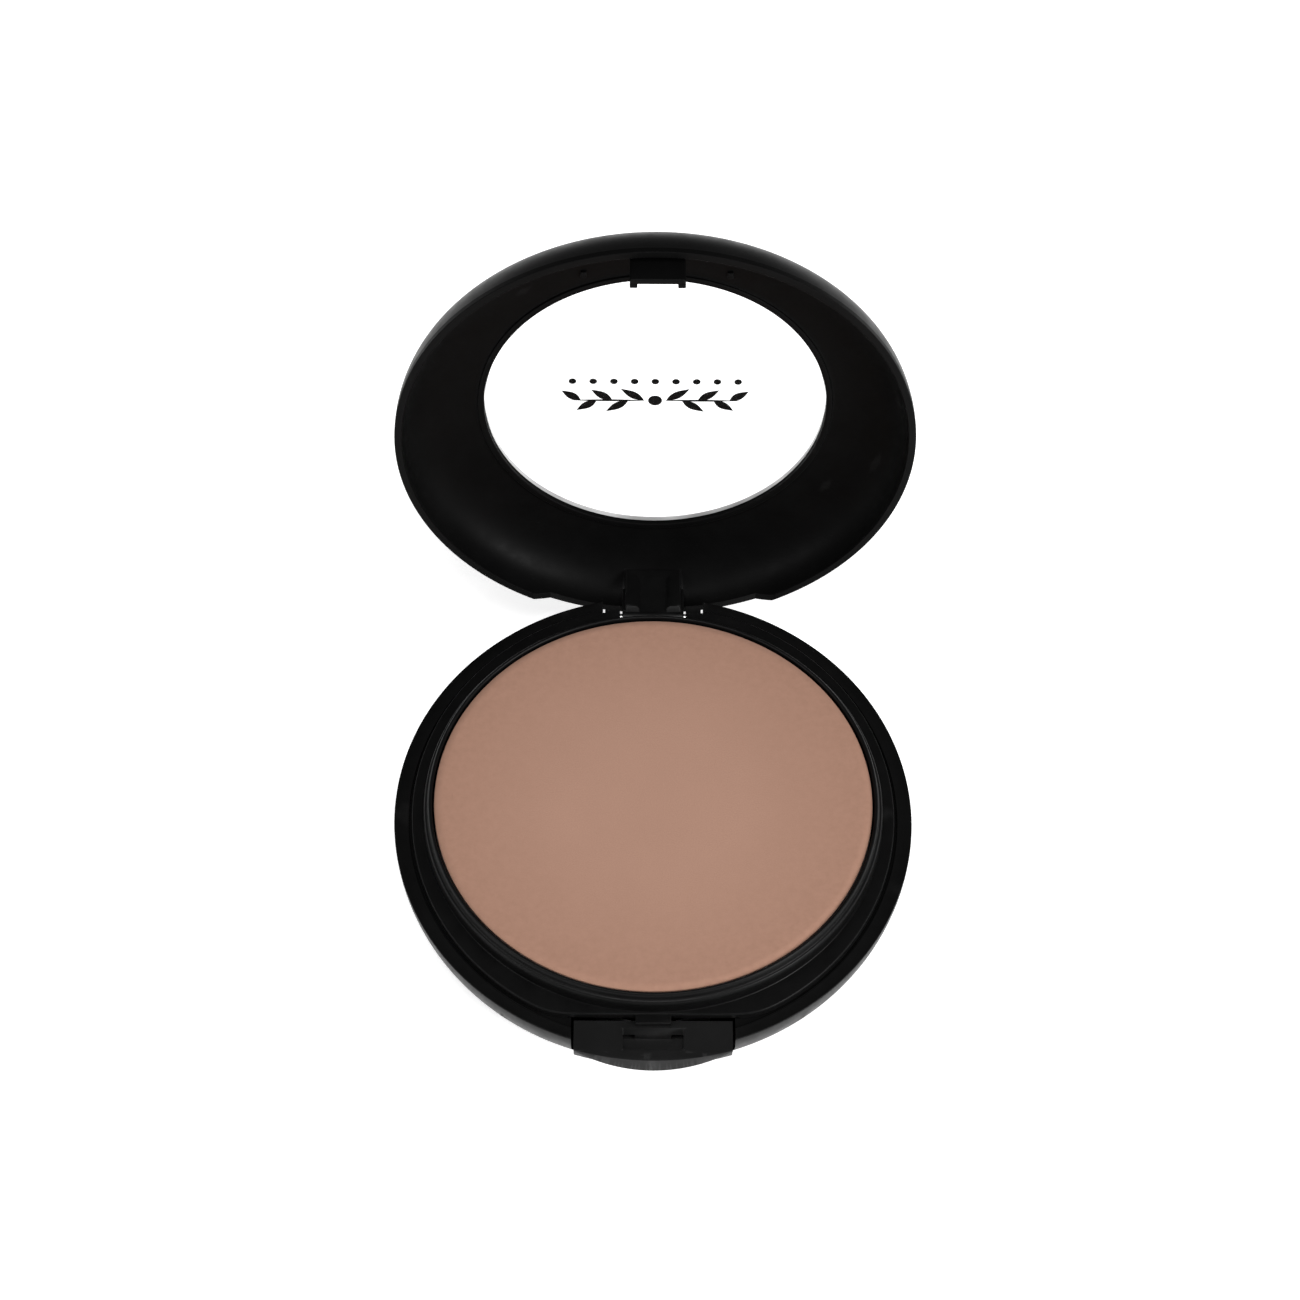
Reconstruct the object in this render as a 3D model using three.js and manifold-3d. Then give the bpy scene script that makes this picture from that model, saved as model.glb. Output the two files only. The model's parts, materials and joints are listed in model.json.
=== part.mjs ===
// A hinged powder compact: a low case with a pressed-powder tray over a puff well, a push-button
// latch at the front, and a domed lid with a clear window, shown open.
// Millimetres, +Z up, origin at the centre of the case's flat bottom. -Y is the front (the latch)
// and +Y is the back (the hinge). The case is slightly longer front to back than it is wide.
import * as THREE from 'three';
import { mergeVertices } from 'three/addons/utils/BufferGeometryUtils.js';
import Module from 'manifold-3d';

const wasm = await Module();
wasm.setup();

// ---- driving dimensions -------------------------------------------------------------------
const HALF_WIDTH = 35; // case, at the rim
const STRETCH = 1.035; // case depth over case width
const RIM_Z = 10.6; // top of the base's rim
const TURNS = 60; // facets round a full turn

// base
const BASE_FLAT_R = 25.9; // flat part of the bottom
const BASE_BELLY = 1.95; // roundness of the side, 2 is an elliptical arc
const BASE_FLOOR = 1.5;
const BASE_WALL = 1.8;
const SHELF_R = 31.4; // inner edge of the shelf that carries the tray
const SHELF_DROP = 0.35;
const SHELF_DEPTH = 1.6;

// tray
const TRAY_HALF_WIDTH = 32.6;
const TRAY_HALF_DEPTH = 34.25;
const TRAY_GAP = 0.35; // between the tray's edge and its seat in the base
const TRAY_CHORD = 31.35; // straight front edge, from the centre
const TRAY_TOP = 0.95; // flange top above the rim
const TRAY_UNDER = -0.25; // underside, from the rim
const WELL_R = 29.75;
const WELL_FLOOR = 0.45;
const COLLAR_R = 30.95;
const COLLAR_TOP = 4.25;
const TAB_HALF = 2.35; // small lift tab on the straight edge
const TAB_REACH = 1.2;

// pan and powder
const PAN_R = 29.5;
const PAN_WALL = 0.35;
const PAN_BOTTOM = 0.75;
const PAN_TOP = 3.5;
const POWDER_TOP = 4.1;

// mirror and puff under the tray
const MIRROR_R = 28.2;
const MIRROR_THICK = 1.2;
const ADHESIVE_THICK = 0.15;
const PUFF_R = 26.8;
const PUFF_THICK = 5.6;
const PUFF_ROUND = 1.8;

// hinge
const HINGE_Y = 33.76;
const HINGE_DROP = 1.45; // axis below the rim
const PIN_R = 0.55;
const PIN_CLEARANCE = 0.06;
const PIN_HALF_LENGTH = 9.4;
const EYE_R = 1.3;
const HINGE_GAP_HALF = 7; // half-width of the opening in the base's back wall
const HINGE_GAP_DEPTH = 4.6;
const BOSS_HALF = 10.4; // thick part of the back wall that holds the pin
const LUG_HALF = 3.9; // half-width of the lid's lug
const LUG_FRONT = 31.7; // its face towards the middle of the lid
const LUG_BACK = 35.6;
const LUG_ROOM = 0.3; // between the lug and the tray, at its sides and front
const RECESS_HALF = 2.6; // the lug's recess at its face; its sides and head slope in
const RECESS_TOP = 4.9;
const WEB_HALF = 1.9; // floor of the recess
const WEB_TOP = 4.2;
const WEB_FACE = 32;
const WEB_FACE_LOW = 32.45; // deeper at the hinge
const FOOT_HALF = 4.3; // wider foot of the lug, round the pin
const FOOT_FRONT = 32.3;
const FOOT_TOP = 2.6;
const KNUCKLE_IN = 4.6;
const KNUCKLE_OUT = 6.7;
const OPEN_ANGLE = 95.3; // degrees from closed, as shown

// lid
const LID_GAP = 0.15; // between the closed lid's rim and the base's rim
const LID_HALF_WIDTH = 35;
const LID_WALL = 1.02; // at the rim
const LID_HEIGHT = 9.4;
const LID_CEILING = 7.7;
const LID_FLAT_R = 20.5;
const LID_BELLY = 2.47;
const WINDOW_R = 23.15; // see-through opening
const WINDOW_LIP = 0.85; // width of the ring round the opening, inside
const WINDOW_SEAT_R = 24.4;
const WINDOW_SEAT_Z = 8.5;
const LID_NOTCH_HALF = 14.4;
const LID_NOTCH_RAMP = 2.4; // length of its sloped ends
const LID_NOTCH_DEPTH = 1.35;
const RIB_X = 9.6; // two small ribs inside the lid, one each side
const RIB_HALF = 0.4;
const RIB_FRONT = -25.7;
const RIB_BACK = -24.6;
const RIB_DROP = 0.85; // below the ceiling

// latch
const BUTTON_HALF = 10.4;
const BUTTON_TRAVEL = 1;
const BUTTON_BACK = 31.7; // its inner edge, from the centre
const BUTTON_PROUD = 1.4; // how far its lip stands out of the case
const BUTTON_TOP = -0.05;
const BUTTON_LOW = -4.6;
const BUTTON_LIP_LOW = -2.75;
const LIP_ARC_R = 23.6; // the lip's lower edge is an arc
const BUTTON_SKIN = 0.65; // how far its body stands out of the case's side, under the lip
const LIP_LOW = -3; // where the lip's slab ends before its arc is cut
const POCKET_HALF = 4;
const POCKET_BACK = 32.75;
const POCKET_FRONT = 35.95; // far enough out for the hook with the button pushed in
const POCKET_LOW = -3.05;
const CATCH_BACK = 32.3; // two dimples in the pocket's back wall, where the hook's barbs catch
const CATCH_TOP = -1.9;
const SLOT_CLEARANCE = 0.35;
const SLOT_DEPTH = 4.95;
const SPRING_ROOM = 1.1; // behind the button when it is pushed in
const PARTITION_Y = BUTTON_BACK - BUTTON_TRAVEL - SPRING_ROOM;
const PARTITION_THICK = 1;
const PARTITION_HALF = 20;
const SPRING_HALF = 7.5;
const SPRING_THICK = 0.25;
const SPRING_GAP = 0.1;
const SPRING_LOW = -3.8;
const SPRING_HIGH = -1.6;
const HOOK_HALF = 3.6;
const HOOK_Y = 33.15; // its inner face
const HOOK_THICK = 0.9;
const HOOK_REACH = 2.9; // below the lid's rim
const BARB = 0.6; // one at each corner of the hook
const BARB_IN = 2.6;
const BARB_TOP = -2.2;

// ---- materials ----------------------------------------------------------------------------
const BLACK = 0x0b0b0c;
const STEEL = 0xc4c6c9;
const PAD = 0xe6e2d6;

function material(color, roughness, metalness) {
  return new THREE.MeshStandardMaterial({ color, roughness, metalness });
}

// ---- geometry helpers ---------------------------------------------------------------------

// Turns a profile of [radius, height] points about Z, then stretches it front to back.
function turned(profile, stretch = 1) {
  const points = profile.map(([r, z]) => new THREE.Vector2(r, z));
  const geometry = new THREE.LatheGeometry(points, TURNS);
  geometry.rotateX(Math.PI / 2);
  geometry.scale(1, stretch, 1);
  return geometry;
}

// Extrudes an [x, y] outline from one height to another.
function extruded(outline, low, high) {
  const shape = new THREE.Shape(outline.map(([x, y]) => new THREE.Vector2(x, y)));
  const geometry = new THREE.ExtrudeGeometry(shape, { depth: high - low, bevelEnabled: false });
  geometry.translate(0, 0, low);
  return geometry;
}

function ellipse(halfX, halfY) {
  const points = [];
  for (let i = 0; i < 2 * TURNS; i++) {
    const a = (i / TURNS) * Math.PI;
    points.push([halfX * Math.cos(a), halfY * Math.sin(a)]);
  }
  return points;
}

function block(x0, x1, y0, y1, z0, z1) {
  const geometry = new THREE.BoxGeometry(x1 - x0, y1 - y0, z1 - z0);
  geometry.translate((x0 + x1) / 2, (y0 + y1) / 2, (z0 + z1) / 2);
  return geometry;
}

function rodAlongX(radius, x0, x1, y, z, sides = 24) {
  const geometry = new THREE.CylinderGeometry(radius, radius, x1 - x0, sides);
  geometry.rotateZ(Math.PI / 2);
  geometry.translate((x0 + x1) / 2, y, z);
  return geometry;
}

function rodAlongY(radius, y0, y1, z, sides) {
  const geometry = new THREE.CylinderGeometry(radius, radius, y1 - y0, sides);
  geometry.translate(0, (y0 + y1) / 2, z);
  return geometry;
}

function solid(geometry) {
  const bare = geometry.clone();
  bare.deleteAttribute('normal');
  bare.deleteAttribute('uv');
  const merged = mergeVertices(bare, 1e-5);
  const kept = [];
  const index = merged.index.array;
  for (let i = 0; i < index.length; i += 3) {
    const [a, b, c] = [index[i], index[i + 1], index[i + 2]];
    if (a !== b && b !== c && c !== a) kept.push(a, b, c);
  }
  return new wasm.Manifold(
    new wasm.Mesh({
      numProp: 3,
      vertProperties: new Float32Array(merged.attributes.position.array),
      triVerts: new Uint32Array(kept),
    })
  );
}

function geometryOf(manifold) {
  const mesh = manifold.getMesh();
  const geometry = new THREE.BufferGeometry();
  geometry.setAttribute('position', new THREE.BufferAttribute(mesh.vertProperties, 3));
  geometry.setIndex(new THREE.BufferAttribute(mesh.triVerts, 1));
  geometry.computeVertexNormals();
  return geometry;
}

function piece(name, manifold, finish) {
  const mesh = new THREE.Mesh(geometryOf(manifold), finish);
  mesh.name = name;
  return mesh;
}

function disc(radius, low, high) {
  return solid(turned([[0, low], [radius, low], [radius, high], [0, high]]));
}

function pinBore(halfLength, z) {
  return solid(rodAlongX(PIN_R + PIN_CLEARANCE, -halfLength, halfLength, HINGE_Y, z));
}

// Quarter of a rounded-square curve, from the rim (angle 0) to the flat (angle 90), as [r, depth].
function belly(rimR, flatR, depth, power, steps) {
  const points = [];
  for (let i = 0; i <= steps; i++) {
    const a = (i / steps) * (Math.PI / 2);
    const c = Math.max(Math.cos(a), 0);
    points.push([flatR + (rimR - flatR) * c ** (2 / power), depth * Math.sin(a) ** (2 / power)]);
  }
  return points;
}

// ---- base ---------------------------------------------------------------------------------

// The case's outer shape, grown sideways by the given amount.
function baseOutside(grown = 0) {
  const side = belly(HALF_WIDTH, BASE_FLAT_R, RIM_Z, BASE_BELLY, 10);
  const profile = side.map(([r, depth]) => [r + grown, RIM_Z - depth]).reverse();
  return solid(turned([[0, 0], ...profile, [0, RIM_Z]], STRETCH));
}

function baseCavity() {
  const rimR = HALF_WIDTH - BASE_WALL;
  const flatR = BASE_FLAT_R - 1;
  const side = belly(rimR, flatR, RIM_Z - BASE_FLOOR, BASE_BELLY, 9)
    .map(([r, depth]) => [r, RIM_Z - depth])
    .filter(([, z]) => z < RIM_Z - SHELF_DEPTH)
    .reverse();
  const shelf = [
    [rimR, RIM_Z - SHELF_DEPTH],
    [SHELF_R, RIM_Z - SHELF_DEPTH],
    [SHELF_R, RIM_Z],
  ];
  const well = solid(turned([[0, BASE_FLOOR], ...side, ...shelf, [0, RIM_Z]], STRETCH));
  const seat = ellipse(TRAY_HALF_WIDTH + TRAY_GAP, TRAY_HALF_DEPTH + TRAY_GAP);
  return well.add(solid(extruded(seat, RIM_Z - SHELF_DROP, RIM_Z + 1)));
}

function makeBase() {
  const outside = baseOutside();
  const bossLow = RIM_Z - HINGE_DROP - 2;
  const boss = solid(block(-BOSS_HALF, BOSS_HALF, 31.6, 36, bossLow, RIM_Z - SHELF_DROP));
  const wall = [-PARTITION_Y, PARTITION_THICK - PARTITION_Y];
  const partitionTop = RIM_Z - SHELF_DROP - 0.1;
  const partition = solid(
    block(-PARTITION_HALF, PARTITION_HALF, ...wall, BASE_FLOOR - 0.5, partitionTop)
  );
  const slotHalf = BUTTON_HALF + SLOT_CLEARANCE;
  const slot = solid(block(-slotHalf, slotHalf, -45, -PARTITION_Y, RIM_Z - SLOT_DEPTH, RIM_Z + 2));
  const gapLow = RIM_Z - HINGE_GAP_DEPTH;
  const gap = solid(block(-HINGE_GAP_HALF, HINGE_GAP_HALF, 30.9, 45, gapLow, RIM_Z + 2));
  return outside
    .subtract(baseCavity())
    .add(outside.intersect(boss))
    .add(outside.intersect(partition))
    .subtract(slot)
    .subtract(gap)
    .subtract(pinBore(PIN_HALF_LENGTH + 0.2, RIM_Z - HINGE_DROP));
}

// ---- tray ---------------------------------------------------------------------------------

// An ellipse whose front is cut straight, with the two corners softened.
function trayOutline() {
  const softness = 60;
  const points = [];
  for (let i = 0; i < 2 * TURNS; i++) {
    const a = (i / TURNS) * Math.PI;
    const oval = 1 / Math.hypot(Math.cos(a) / TRAY_HALF_WIDTH, Math.sin(a) / TRAY_HALF_DEPTH);
    const chord = Math.sin(a) < -0.01 ? TRAY_CHORD / -Math.sin(a) : 1e6;
    const r = (oval ** -softness + chord ** -softness) ** (-1 / softness);
    points.push([r * Math.cos(a), r * Math.sin(a)]);
  }
  return points;
}

function trayCollar() {
  const profile = [
    [0, TRAY_UNDER],
    [COLLAR_R, TRAY_UNDER],
    [COLLAR_R, 2.55],
    [COLLAR_R - 0.12, 2.95],
    [COLLAR_R - 0.5, 3.2],
    [COLLAR_R - 0.58, 3.85],
    [COLLAR_R - 0.72, 4.15],
    [COLLAR_R - 0.9, COLLAR_TOP],
    [COLLAR_R - 1.08, 4.18],
    [WELL_R, 4.0],
    [WELL_R, WELL_FLOOR],
    [0, WELL_FLOOR],
  ];
  return solid(turned(profile.map(([r, z]) => [r, z + RIM_Z])));
}

function makeKnuckle(side) {
  const [x0, x1] = side > 0 ? [KNUCKLE_IN, KNUCKLE_OUT] : [-KNUCKLE_OUT, -KNUCKLE_IN];
  const axisZ = RIM_Z - HINGE_DROP;
  const eye = solid(rodAlongX(EYE_R, x0, x1, HINGE_Y, axisZ));
  const top = RIM_Z + TRAY_UNDER + 0.1;
  const arm = solid(block(x0, x1, 31.2, HINGE_Y, axisZ - 1, top));
  const cheek = solid(block(x0, x1, HINGE_Y - 0.5, HINGE_Y + 1.1, axisZ, top));
  return eye.add(arm).add(cheek);
}

function makeTray() {
  const flange = solid(extruded(trayOutline(), RIM_Z + TRAY_UNDER, RIM_Z + TRAY_TOP));
  const over = RIM_Z + 6;
  const under = RIM_Z + 0.12;
  const tabEnds = [-TRAY_CHORD - TAB_REACH, 0.4 - TRAY_CHORD];
  const tab = solid(block(-TAB_HALF, TAB_HALF, ...tabEnds, under, RIM_Z + 0.8));
  const well = disc(WELL_R, RIM_Z + WELL_FLOOR, over);
  const lugRoomHalf = FOOT_HALF + LUG_ROOM;
  const lugRoom = solid(block(-lugRoomHalf, lugRoomHalf, LUG_FRONT - LUG_ROOM, 40, RIM_Z - 6, over));
  const buttonRoomHalf = BUTTON_HALF + 0.8;
  const buttonRoom = solid(block(-buttonRoomHalf, buttonRoomHalf, -40, -29.2, RIM_Z - 2, under));
  const backHalf = HINGE_GAP_HALF + 0.6;
  const backLimit = solid(block(-backHalf, backHalf, 32.9, 40, RIM_Z + TRAY_UNDER, over));
  return flange
    .subtract(well)
    .add(trayCollar())
    .subtract(buttonRoom)
    .subtract(backLimit)
    .add(tab)
    .add(makeKnuckle(1))
    .add(makeKnuckle(-1))
    .subtract(lugRoom)
    .subtract(pinBore(KNUCKLE_OUT + 1, RIM_Z - HINGE_DROP));
}

// ---- pan, powder, mirror, puff ------------------------------------------------------------
function makePan() {
  const low = RIM_Z + PAN_BOTTOM;
  const profile = [
    [0, low],
    [PAN_R - 0.3, low],
    [PAN_R, low + 0.3],
    [PAN_R, RIM_Z + PAN_TOP],
    [PAN_R - PAN_WALL, RIM_Z + PAN_TOP],
    [PAN_R - PAN_WALL, low + PAN_WALL + 0.2],
    [PAN_R - PAN_WALL - 0.2, low + PAN_WALL],
    [0, low + PAN_WALL],
  ];
  return solid(turned(profile));
}

function makePowder() {
  const r = PAN_R - PAN_WALL - 0.05;
  const low = RIM_Z + PAN_BOTTOM + PAN_WALL + 0.05;
  const brim = RIM_Z + PAN_TOP + 0.05;
  const top = RIM_Z + POWDER_TOP;
  const profile = [
    [0, low],
    [r - 0.3, low],
    [r, low + 0.3],
    [r, brim],
    [PAN_R, brim],
    [PAN_R, top - 0.25],
    [PAN_R - 0.3, top - 0.06],
    [PAN_R - 0.9, top],
    [0, top],
  ];
  return solid(turned(profile));
}

function makePuff() {
  const low = BASE_FLOOR + 0.05;
  const high = low + PUFF_THICK;
  const profile = [[0, low]];
  for (let i = 0; i <= 8; i++) {
    const a = (i / 8) * Math.PI - Math.PI / 2;
    const middle = a < 0 ? low + PUFF_ROUND : high - PUFF_ROUND;
    profile.push([PUFF_R + PUFF_ROUND * (Math.cos(a) - 1), middle + PUFF_ROUND * Math.sin(a)]);
  }
  profile.push([0, high]);
  return solid(turned(profile));
}

// ---- lid, drawn closed, with its rim at height 0 --------------------------------------------
function lidOutside() {
  const side = belly(LID_HALF_WIDTH, LID_FLAT_R, LID_HEIGHT, LID_BELLY, 12);
  return solid(turned([[0, 0], ...side, [0, LID_HEIGHT]], STRETCH));
}

function lidCavity() {
  const rimR = LID_HALF_WIDTH - LID_WALL;
  const side = belly(rimR, LID_FLAT_R - 0.5, LID_CEILING, LID_BELLY, 11);
  return solid(turned([[0, -1], [rimR, -1], ...side, [0, LID_CEILING]], STRETCH));
}

function ring(inner, outer, low, high) {
  const profile = [[inner, low], [outer, low], [outer, high], [inner, high], [inner, low]];
  return solid(turned(profile, STRETCH));
}

// An upright lug with a recessed middle and a wider foot. Its outlines are [y, z].
function lidLug(outside) {
  const axisZ = -HINGE_DROP - LID_GAP;
  const upper = alongX(LUG_HALF, [
    [LUG_FRONT, 0.1],
    [LUG_BACK, 0.1],
    [LUG_BACK, 7.2],
    [LUG_FRONT, 5.8],
  ]);
  const lower = alongX(LUG_HALF, [
    [LUG_FRONT, 1.6],
    [LUG_FRONT, axisZ + 0.6],
    [HINGE_Y - EYE_R, axisZ - 0.3],
    [34.9, axisZ],
    [34.9, 1.6],
  ]);
  const foot = alongX(FOOT_HALF, [
    [FOOT_FRONT, FOOT_TOP],
    [FOOT_FRONT, axisZ],
    [34.9, axisZ],
    [34.9, FOOT_TOP],
  ]);
  const eye = solid(rodAlongX(EYE_R, -FOOT_HALF, FOOT_HALF, HINGE_Y, axisZ));
  const lug = outside.intersect(upper).add(lower).add(foot).add(eye);
  return lug.subtract(lugRecess(axisZ - 2)).subtract(pinBore(FOOT_HALF + 1, axisZ));
}

function lugRecess(low) {
  const across = extruded(
    [
      [-RECESS_HALF, 30],
      [RECESS_HALF, 30],
      [RECESS_HALF, LUG_FRONT],
      [WEB_HALF, WEB_FACE],
      [WEB_HALF, 33],
      [-WEB_HALF, 33],
      [-WEB_HALF, WEB_FACE],
      [-RECESS_HALF, LUG_FRONT],
    ],
    low,
    RECESS_TOP
  );
  const side = alongX(LUG_HALF, [
    [30, low],
    [WEB_FACE_LOW, low],
    [WEB_FACE, WEB_TOP],
    [LUG_FRONT, RECESS_TOP],
    [30, RECESS_TOP],
  ]);
  return solid(across).intersect(side);
}

// A [y, z] outline drawn along X.
function alongX(half, side) {
  const geometry = extruded(side.map(([y, z]) => [-z, y]), -half, half);
  geometry.rotateY(Math.PI / 2);
  return solid(geometry);
}

function lidHook(outside) {
  const plate = solid(block(-HOOK_HALF, HOOK_HALF, -HOOK_Y - HOOK_THICK, -HOOK_Y, -HOOK_REACH, 5));
  const barbEnds = [-HOOK_Y - 0.1, BARB - HOOK_Y];
  const right = solid(block(BARB_IN, HOOK_HALF, ...barbEnds, -HOOK_REACH, BARB_TOP));
  const left = solid(block(-HOOK_HALF, -BARB_IN, ...barbEnds, -HOOK_REACH, BARB_TOP));
  const below = solid(block(-HOOK_HALF - 1, HOOK_HALF + 1, -45, -20, -10, 1));
  return plate.add(right).add(left).intersect(outside.add(below));
}

function lidRib(x) {
  const low = LID_CEILING - RIB_DROP;
  return solid(block(x - RIB_HALF, x + RIB_HALF, RIB_FRONT, RIB_BACK, low, LID_CEILING + 0.4));
}

// The cut in the lid's rim over the hinge, with sloped ends.
function lidNotch() {
  const ramp = LID_NOTCH_HALF + LID_NOTCH_RAMP;
  const outline = [
    [-ramp, -1],
    [ramp, -1],
    [ramp, 0],
    [LID_NOTCH_HALF, LID_NOTCH_DEPTH],
    [-LID_NOTCH_HALF, LID_NOTCH_DEPTH],
    [-ramp, 0],
  ];
  const geometry = extruded(outline, -45, -20);
  geometry.rotateX(Math.PI / 2);
  return solid(geometry);
}

function makeLid() {
  const outside = lidOutside();
  const over = LID_HEIGHT + 1;
  const opening = solid(turned([[0, -1], [WINDOW_R, -1], [WINDOW_R, over], [0, over]], STRETCH));
  const seat = ring(WINDOW_R - 1, WINDOW_SEAT_R, WINDOW_SEAT_Z, over);
  const lip = ring(WINDOW_R - 0.5, WINDOW_R + WINDOW_LIP, LID_CEILING - 0.5, LID_CEILING + 0.3);
  return outside
    .subtract(lidCavity())
    .subtract(lidNotch())
    .add(lip)
    .add(lidRib(-RIB_X))
    .add(lidRib(RIB_X))
    .subtract(opening)
    .subtract(seat)
    .add(lidLug(outside))
    .add(lidHook(outside));
}

function makeWindow() {
  const plugR = WINDOW_R - 0.1;
  const seatR = WINDOW_SEAT_R - 0.15;
  const profile = [
    [0, LID_CEILING + 0.1],
    [plugR, LID_CEILING + 0.1],
    [plugR, WINDOW_SEAT_Z + 0.05],
    [seatR, WINDOW_SEAT_Z + 0.05],
    [seatR, LID_HEIGHT - 0.15],
    [seatR - 0.3, LID_HEIGHT],
    [0, LID_HEIGHT],
  ];
  return solid(turned(profile, STRETCH));
}

// ---- latch --------------------------------------------------------------------------------
function buttonPlan() {
  const points = [[BUTTON_HALF, -BUTTON_BACK], [-BUTTON_HALF, -BUTTON_BACK]];
  const a = HALF_WIDTH + BUTTON_PROUD;
  const b = HALF_WIDTH * STRETCH + BUTTON_PROUD;
  const steps = 16;
  for (let i = 0; i <= steps; i++) {
    const x = -BUTTON_HALF + (2 * BUTTON_HALF * i) / steps;
    points.push([x, -b * Math.sqrt(1 - (x / a) ** 2)]);
  }
  return points;
}

function makeButton() {
  const top = RIM_Z + BUTTON_TOP;
  const arcZ = RIM_Z + BUTTON_LIP_LOW + LIP_ARC_R;
  const lip = solid(extruded(buttonPlan(), RIM_Z + LIP_LOW, top)).intersect(
    solid(rodAlongY(LIP_ARC_R, -40, -31, arcZ, 96))
  );
  const body = solid(
    block(-BUTTON_HALF, BUTTON_HALF, -40, -BUTTON_BACK, RIM_Z + BUTTON_LOW, top)
  ).intersect(baseOutside(BUTTON_SKIN));
  const pocket = pocketBlock(-POCKET_HALF, POCKET_HALF, POCKET_BACK, 1);
  const dimple = pocketBlock(BARB_IN - 0.2, POCKET_HALF, CATCH_BACK, CATCH_TOP);
  return body.add(lip).subtract(pocket).subtract(dimple).subtract(dimple.mirror([1, 0, 0]));
}

// A block on the pocket's floor: x limits, its back, and its top from the rim.
function pocketBlock(x0, x1, back, high) {
  return solid(block(x0, x1, -POCKET_FRONT, -back, RIM_Z + POCKET_LOW, RIM_Z + high));
}

function makeSpring() {
  const rest = -PARTITION_Y - SPRING_GAP;
  const bow = BUTTON_BACK - PARTITION_Y - 2 * SPRING_GAP - SPRING_THICK;
  const steps = 14;
  const outer = [];
  const inner = [];
  for (let i = 0; i <= steps; i++) {
    const t = i / steps;
    const x = SPRING_HALF * (2 * t - 1);
    const y = rest - bow * Math.sin(Math.PI * t) ** 2;
    outer.push([x, y - SPRING_THICK]);
    inner.push([x, y]);
  }
  return solid(extruded([...outer, ...inner.reverse()], RIM_Z + SPRING_LOW, RIM_Z + SPRING_HIGH));
}

// ---- the object ---------------------------------------------------------------------------
const compact = new THREE.Group();
const axisZ = RIM_Z - HINGE_DROP;
const trayLow = RIM_Z + TRAY_UNDER;
const mirrorTop = trayLow - ADHESIVE_THICK - 0.1;
const pin = solid(rodAlongX(PIN_R, -PIN_HALF_LENGTH, PIN_HALF_LENGTH, HINGE_Y, axisZ));
const panPad = disc(26, RIM_Z + WELL_FLOOR + 0.05, RIM_Z + PAN_BOTTOM - 0.05);
const mirrorPad = disc(24, trayLow - ADHESIVE_THICK - 0.05, trayLow - 0.05);
const mirror = disc(MIRROR_R, mirrorTop - MIRROR_THICK, mirrorTop);

compact.add(piece('base_shell', makeBase(), material(BLACK, 0.28, 0)));
compact.add(piece('tray', makeTray(), material(BLACK, 0.3, 0)));
compact.add(piece('pan', makePan(), material(0xb9bcc0, 0.35, 1)));
compact.add(piece('pan_adhesive', panPad, material(PAD, 0.6, 0)));
compact.add(piece('powder', makePowder(), material(0xa98474, 0.95, 0)));
compact.add(piece('mirror_adhesive', mirrorPad, material(PAD, 0.6, 0)));
compact.add(piece('mirror', mirror, material(0xdfe6ea, 0.05, 1)));
compact.add(piece('puff', makePuff(), material(0xe3c9ae, 0.95, 0)));
compact.add(piece('hinge_pin', pin, material(STEEL, 0.3, 1)));
compact.add(piece('button', makeButton(), material(BLACK, 0.28, 0)));
compact.add(piece('button_spring', makeSpring(), material(STEEL, 0.3, 1)));

// The lid is drawn closed and turned open about the hinge axis.
const hinge = new THREE.Group();
hinge.position.set(0, HINGE_Y, axisZ);
hinge.rotation.x = -THREE.MathUtils.degToRad(OPEN_ANGLE);
const lid = new THREE.Group();
lid.position.set(0, -HINGE_Y, HINGE_DROP + LID_GAP);
lid.add(piece('lid_shell', makeLid(), material(BLACK, 0.25, 0)));
lid.add(piece('lid_window', makeWindow(), material(0xf2f5f6, 0.05, 0)));
hinge.add(lid);
compact.add(hinge);

export default compact;
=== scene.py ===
import json
import math

import bmesh
import bpy
import numpy as np
from mathutils import Matrix, Vector


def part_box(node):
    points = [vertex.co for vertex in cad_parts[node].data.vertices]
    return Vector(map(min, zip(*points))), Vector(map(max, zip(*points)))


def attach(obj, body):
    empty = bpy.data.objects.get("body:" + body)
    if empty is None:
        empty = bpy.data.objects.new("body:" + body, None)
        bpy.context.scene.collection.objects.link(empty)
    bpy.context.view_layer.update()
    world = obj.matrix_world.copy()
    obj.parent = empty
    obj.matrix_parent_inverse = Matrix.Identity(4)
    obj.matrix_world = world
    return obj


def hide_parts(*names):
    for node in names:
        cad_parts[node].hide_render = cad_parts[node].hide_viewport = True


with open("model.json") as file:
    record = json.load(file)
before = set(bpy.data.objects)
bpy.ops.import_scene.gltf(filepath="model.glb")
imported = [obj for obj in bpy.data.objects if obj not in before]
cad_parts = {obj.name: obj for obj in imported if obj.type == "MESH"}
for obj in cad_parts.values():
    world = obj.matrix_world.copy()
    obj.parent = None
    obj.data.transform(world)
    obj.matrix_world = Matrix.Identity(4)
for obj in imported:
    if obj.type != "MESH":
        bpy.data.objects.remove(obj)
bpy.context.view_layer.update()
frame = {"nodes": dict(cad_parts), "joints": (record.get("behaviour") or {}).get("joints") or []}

# A powder compact, open. The pieces that show are rebuilt here as finer meshes of the same sizes.
# Lengths are in millimetres and become metres in the mesh helpers. Heights such as TRAY_TOP are
# measured from the base's rim, and the lid's are measured from its own rim.
MM = 0.001

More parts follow.
